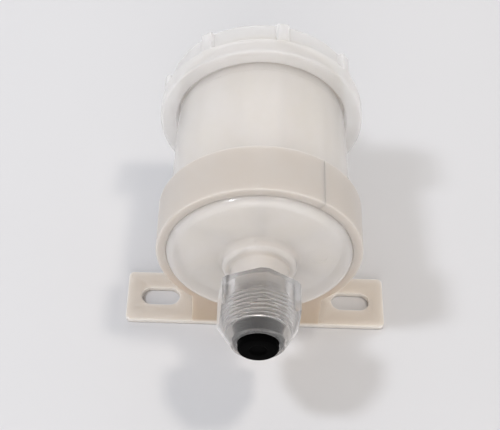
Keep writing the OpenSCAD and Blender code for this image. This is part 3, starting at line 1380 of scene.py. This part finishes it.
@dataclass
class CompressionFitting:
    """Nut on the stem with the gripping parts that it closes on the tube, and the plug."""

    axis: FilterAxis
    flats: float = 22.2
    back_s: float = -13.1
    nose_s: float = -30.6
    nose_r: float = 7.6
    nose_slope: float = 0.6
    nose_hole_r: float = 5.95
    bore_r: float = 8.43
    bore_end_s: float = -26.2
    cavity_r: tuple[float, float] = (8.0, 7.15)
    cavity_end_s: float = -29.6
    thread_pitch: float = 1.337
    thread_depth: float = 0.2
    corner_angle: float = 24.25
    tube_r: float = 5.85
    sleeve_s: tuple[float, float] = (-29.5, -26.4)
    sleeve_r: tuple[float, float] = (6.95, 7.8)
    ring_r: float = 7.7
    ring_t: float = 0.3
    tooth_root_r: float = 6.9
    tooth_count: int = 8
    plug_r: float = 5.75
    plug_s: tuple[float, float] = (-32.3, -13.2)
    dish_r: float = 2.6

    def nut_thread(self) -> Thread:
        """Gives the thread in the nut, which lies in the grooves of the stem's."""
        start, end = self.back_s - 4.0, self.bore_end_s + 0.2
        return Thread(self.bore_r, start, end, self.thread_pitch, -self.thread_depth, phase=0.5)

    def nut(self) -> bpy.types.Object:
        """Models the nut: a turned blank with its cone, trimmed to a hexagon.

        Returns:
            The nut.
        """
        corner_r = self.flats / math.sqrt(3)
        blank_r = corner_r + 0.4
        cone_s = self.nose_s + (blank_r - self.nose_r) / self.nose_slope
        corners = [
            (self.nose_hole_r, self.nose_s, 0.3),
            (self.nose_r, self.nose_s, 0.6),
            (blank_r, cone_s, 0.0),
            (blank_r, self.back_s - 0.7, 0.0),
            (corner_r - 0.7, self.back_s, 0.0),
            (self.bore_r, self.back_s, 0.0),
            *self.nut_thread().wall(),
            (self.bore_r, self.bore_end_s, 0.0),
            (self.cavity_r[0], self.bore_end_s, 0.0),
            (self.cavity_r[1], self.cavity_end_s, 0.0),
            (self.nose_hole_r, self.cavity_end_s, 0.0),
        ]
        nut = turned("nut", rounded(corners), self.axis, 120)
        self.nut_thread().cut(nut, self.axis)
        bpy.ops.object.select_all(action="DESELECT")
        bpy.ops.mesh.primitive_cylinder_add(
            vertices=6,
            radius=corner_r * MM,
            depth=(self.back_s - self.nose_s + 2) * MM,
            location=self.axis.at(0, (self.back_s + self.nose_s) / 2),
            rotation=(math.pi / 2, math.radians(30 - self.corner_angle), 0),
        )
        hexagon = settle(bpy.context.active_object, "hexagon")
        bevel_edges(hexagon, along((0, 1, 0)), 0.35, steps=3)
        combine(nut, hexagon, Join.KEEP)
        smooth(nut, 24)
        return nut

    def clamp_sleeve(self) -> bpy.types.Object:
        """Turns the tapered sleeve that grips the tube.

        Returns:
            The sleeve.
        """
        corners = [
            (self.tube_r, self.sleeve_s[0], 0.2),
            (self.sleeve_r[0], self.sleeve_s[0], 0.25),
            (self.sleeve_r[1], self.sleeve_s[1], 0.15),
            (self.tube_r, self.sleeve_s[1], 0.2),
        ]
        sleeve = turned("clamp_sleeve_taper", rounded(corners), self.axis)
        smooth(sleeve)
        return sleeve

    def grab_ring(self) -> bpy.types.Object:
        """Models the spring ring, its teeth dished towards the nose and parted by slits.

        Returns:
            The ring.
        """
        front, back = self.sleeve_s[1], self.sleeve_s[1] + self.ring_t
        corners = [
            (self.tube_r + 0.02, front, 0.0),
            (self.tooth_root_r, back - 0.2, 0.3),
            (self.ring_r, back - 0.2, 0.0),
            (self.ring_r, back, 0.0),
            (self.tooth_root_r - 0.1, back, 0.3),
            (self.tube_r + 0.02, front + 0.15, 0.0),
        ]
        ring = turned("grab_ring_toothed", rounded(corners, 3), self.axis)
        slit = block(
            "slits",
            (self.tube_r - 0.5, self.axis.rim_y + front - 1, self.axis.z - 0.25),
            (self.tooth_root_r, self.axis.rim_y + back + 1, self.axis.z + 0.25),
        )
        combine(ring, ring_of_copies(slit, self.axis, self.tooth_count), Join.CUT)
        smooth(ring, 30)
        return ring

    def plug(self) -> bpy.types.Object:
        """Turns the blanking plug with the dish in its end.

        Returns:
            The plug.
        """
        front, back = self.plug_s
        corners = [
            (0.0, front + 0.5, 0.0),
            (self.dish_r - 0.5, front + 0.5, 0.3),
            (self.dish_r, front, 0.3),
            (self.plug_r, front, 0.8),
            (self.plug_r, back, 0.5),
            (0.0, back, 0.0),
        ]
        plug = turned("blanking_plug", rounded(corners), self.axis)
        smooth(plug)
        return plug

    def build(self, shop: FinishShop) -> None:
        """Models the four pieces and hands them over.

        Args:
            shop: Holds the finishes and hands pieces over.
        """
        shop.hand_over(
            self.nut(), NUT_POLYPROPYLENE, "nut", "compression_nut"
        )
        shop.hand_over(
            self.clamp_sleeve(), BLACK_ACETAL, "gripper", "clamp_sleeve"
        )
        shop.hand_over(self.grab_ring(), SPRING_STEEL, "gripper", "grab_ring")
        shop.hand_over(self.plug(), PLUG_POLYETHYLENE, "plug", "transit_plug")


@dataclass
class FilterElement:
    """Pleated paper and the netting sleeve around it."""

    axis: FilterAxis
    media_s: tuple[float, float] = (4.8, 54.8)
    fold_r: tuple[float, float] = (9.7, 19.7)
    pleat_count: int = 28
    paper_t: float = 0.5
    net_r: float = 20.85
    strand_r: float = 0.33
    strand_count: int = 18
    strand_twist: float = 0.4
    strand_steps: int = 40
    crease: float = 0.97
    points_per_pleat: int = 16

    def pleats(self) -> bpy.types.Object:
        """Folds the paper: a ring drawn in and out, lifted to its length and thickened.

        Returns:
            The folded paper.
        """
        inner, outer = self.fold_r
        bpy.ops.object.select_all(action="DESELECT")
        bpy.ops.mesh.primitive_circle_add(
            vertices=self.pleat_count * self.points_per_pleat,
            radius=outer * MM,
            location=self.axis.at(0, self.media_s[0]),
            rotation=(math.pi / 2, 0, 0),
        )
        paper = settle(bpy.context.active_object, "pleated_paper")
        middle, half = (inner + outer) / 2, (outer - inner) / 2 - self.paper_t / 2
        for vertex in paper.data.vertices:
            _, s, turn = self.axis.polar(vertex.co)
            wave = self.crease * math.cos(TURN * self.pleat_count * turn)
            fold = math.asin(wave) / math.asin(self.crease)
            vertex.co = self.axis.at(middle + half * fold, s, 90 - 360 * turn)
        bpy.ops.object.mode_set(mode="EDIT")
        bpy.ops.mesh.select_all(action="SELECT")
        length = (self.media_s[1] - self.media_s[0]) * MM
        bpy.ops.mesh.extrude_region_move(TRANSFORM_OT_translate={"value": (0, length, 0)})
        bpy.ops.object.mode_set(mode="OBJECT")
        face_outwards(paper)
        apply_modifier(paper, "SOLIDIFY", thickness=self.paper_t * MM, offset=0.0)
        smooth(paper, 60)
        return paper

    def netting(self) -> bpy.types.Object:
        """Lays strands in two layers, one wound each way, into a net of diamonds.

        Returns:
            The netting sleeve.
        """
        length = self.media_s[1] - self.media_s[0] - 2 * self.strand_r
        layers = []
        for hand, lift in ((1, -0.02), (-1, 0.02)):
            bpy.ops.object.select_all(action="DESELECT")
            bpy.ops.mesh.primitive_circle_add(
                vertices=6,
                radius=self.strand_r * MM,
                fill_type="NGON",
                location=self.axis.at(0, self.media_s[0] + self.strand_r),
            )
            strand = bpy.context.active_object
            bpy.ops.object.mode_set(mode="EDIT")
            bpy.ops.mesh.select_all(action="SELECT")
            shift = ((self.net_r + lift) * MM, 0, 0)
            bpy.ops.transform.translate(value=shift)
            bpy.ops.object.mode_set(mode="OBJECT")
            apply_modifier(
                strand,
                "SCREW",
                axis="Y",
                angle=hand * TURN * self.strand_twist,
                screw_offset=length * MM,
                steps=self.strand_steps,
                render_steps=self.strand_steps,
                use_normal_calculate=True,
            )
            settle(strand, "netting")
            layers.append(ring_of_copies(strand, self.axis, self.strand_count))
        net = merge_objects(layers, "netting_sleeve")
        face_outwards(net)
        smooth(net, 70)
        return net

    def build(self, shop: FinishShop) -> None:
        """Models the paper and the netting and hands them over.

        Args:
            shop: Holds the finishes and hands pieces over.
        """
        shop.hand_over(self.pleats(), FILTER_PAPER, "element", "pleated_media")
        shop.hand_over(
            self.netting(), SLEEVE_POLYPROPYLENE, "element", "outer_sleeve"
        )


CARRIED_NODES: dict[str, Finish] = {
    "cap_gasket": NATURAL_ELASTOMER,
    "backup_washer": WHITE_ACETAL,
    "tube_seal_ring": BLACK_RUBBER,
    "media_seam_clip": TINNED_STEEL,
    "core_tube": SLEEVE_POLYPROPYLENE,
    "front_end_cap": WHITE_ACETAL,
    "rear_end_cap": WHITE_ACETAL,
    "spigot_grommet": BLACK_RUBBER,
    "spring_seat": TINNED_STEEL,
    "retaining_spring": SPRING_STEEL,
    "screen_retainer": WHITE_ACETAL,
}


# --- studio -----------------------------------------------------------------


@dataclass(frozen=True)
class Lamp:
    """A round soft lamp that leans away from the upright by some direction."""

    name: str
    lean: tuple[float, float, float]
    power: float
    colour: str
    distance: float = 900.0
    width: float = 150.0

    def build(self, target: Vector) -> None:
        """Hangs the lamp and aims it at a point.

        Args:
            target: The point that it is aimed at.
        """
        light = bpy.data.lights.new(self.name, "AREA")
        light.shape = "DISK"
        light.size = self.width * MM
        light.energy = self.power
        light.color = linear(self.colour)[:3]
        lamp = bpy.data.objects.new(light.name, light)
        way = Vector(self.lean).normalized()
        lamp.location = target + way * self.distance * MM
        lamp.rotation_mode = "QUATERNION"
        lamp.rotation_quaternion = way.to_track_quat("Z", "Y")
        bpy.context.collection.objects.link(lamp)


@dataclass(frozen=True)
class Studio:
    """Pale table, soft lamps above it, a pale room and the camera."""

    azimuth: float = -1.39
    elevation: float = 51.89
    roll: float = 2.93
    distance: float = 355.86
    lens: float = 86.4
    aim: tuple[float, float, float] = (-2.97, 5.55, 37.8)
    wall_light: float = 1.35
    ceiling_light: float = 0.08
    table_colour: str = "#D6D6D7"
    lamps: tuple[Lamp, ...] = (
        Lamp("lamp_left", (-0.53, -0.09, 0.84), 2.87, "#F2F6FF", width=115.0),
        Lamp("lamp_right", (0.34, 0.05, 0.94), 2.14, "#FFF6EC", width=115.0),
        Lamp("lamp_window", (0.0, -0.92, 0.4), 4.9, "#FFF9F5", distance=1300.0, width=900.0),
        Lamp("lamp_back", (0.0, 0.8, 0.6), 0.5, "#FDFDFF", distance=600.0, width=400.0),
    )

    def camera(self) -> None:
        """Sets the camera up over the front of the filter."""
        azimuth, elevation = math.radians(self.azimuth), math.radians(self.elevation)
        back = Vector(
            (
                math.sin(azimuth) * math.cos(elevation),
                -math.cos(azimuth) * math.cos(elevation),
                math.sin(elevation),
            )
        )
        data = bpy.data.cameras.new("camera")
        data.lens = self.lens
        data.clip_start, data.clip_end = 0.01, 20.0
        camera = bpy.data.objects.new("camera", data)
        level = (-back).to_track_quat("-Z", "Y")
        camera.rotation_mode = "QUATERNION"
        roll = Matrix.Rotation(math.radians(self.roll), 3, "Z").to_quaternion()
        camera.rotation_quaternion = level @ roll
        camera.location = (Vector(self.aim) + back * self.distance) * MM
        bpy.context.collection.objects.link(camera)
        bpy.context.scene.camera = camera

    def table(self) -> None:
        """Lays the pale table under the foot."""
        bpy.ops.object.select_all(action="DESELECT")
        bpy.ops.mesh.primitive_plane_add(size=6, location=(0, 0, -0.05 * MM))
        table = bpy.context.active_object
        table.name = "table"
        # Uncoated paper board, rolled: an even pale grey with no shine.
        material, tree = blank_material("matt_paper_board")
        settings = {"Base Color": linear(self.table_colour), "Specular IOR Level": 0.2}
        fibre = Patches(0.8, detail=5.0).lay(tree, roughness=(0.75, 0.9), height=0.004)
        finish_surface(tree, settings, fibre)
        table.data.materials.append(material)

    def room(self) -> None:
        """Fills the room with pale light that is stronger from the walls than from above."""
        world = bpy.data.worlds.new("pale_room")
        world.use_nodes = True
        tree = world.node_tree
        tree.nodes.clear()
        way = add_node(tree, "ShaderNodeTexCoord")
        height = add_node(tree, "ShaderNodeSeparateXYZ", links={"Vector": way.outputs["Generated"]})
        settings = {"To Min": self.wall_light, "To Max": self.ceiling_light}
        light = add_node(tree, "ShaderNodeMapRange", settings, {"Value": height.outputs["Z"]})
        background = add_node(
            tree,
            "ShaderNodeBackground",
            {"Color": linear("#FDFDFF")},
            {"Strength": light},
        )
        add_node(tree, "ShaderNodeOutputWorld", links={"Surface": background})
        bpy.context.scene.world = world
        bpy.context.scene.view_settings.view_transform = "Standard"

    def build(self) -> None:
        """Sets up the camera, the table, the room and the lamps."""
        self.camera()
        self.table()
        self.room()
        for lamp in self.lamps:
            lamp.build(Vector(self.aim) * MM)


def main() -> None:
    """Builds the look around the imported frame."""
    logging.basicConfig(level=logging.INFO, format="%(name)s: %(message)s")
    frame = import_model()
    axis = FilterAxis.from_frame()
    shop = FinishShop()
    Studio().build()
    MountingBracket(axis).build(shop)
    FilterBowl(axis).build(shop)
    ScrewCap(axis).build(shop)
    CompressionFitting(axis).build(shop)
    FilterElement(axis).build(shop)
    for name, finish in CARRIED_NODES.items():
        shop.dress_node(name, finish, frame["nodes"])


if __name__ == "__main__":
    main()
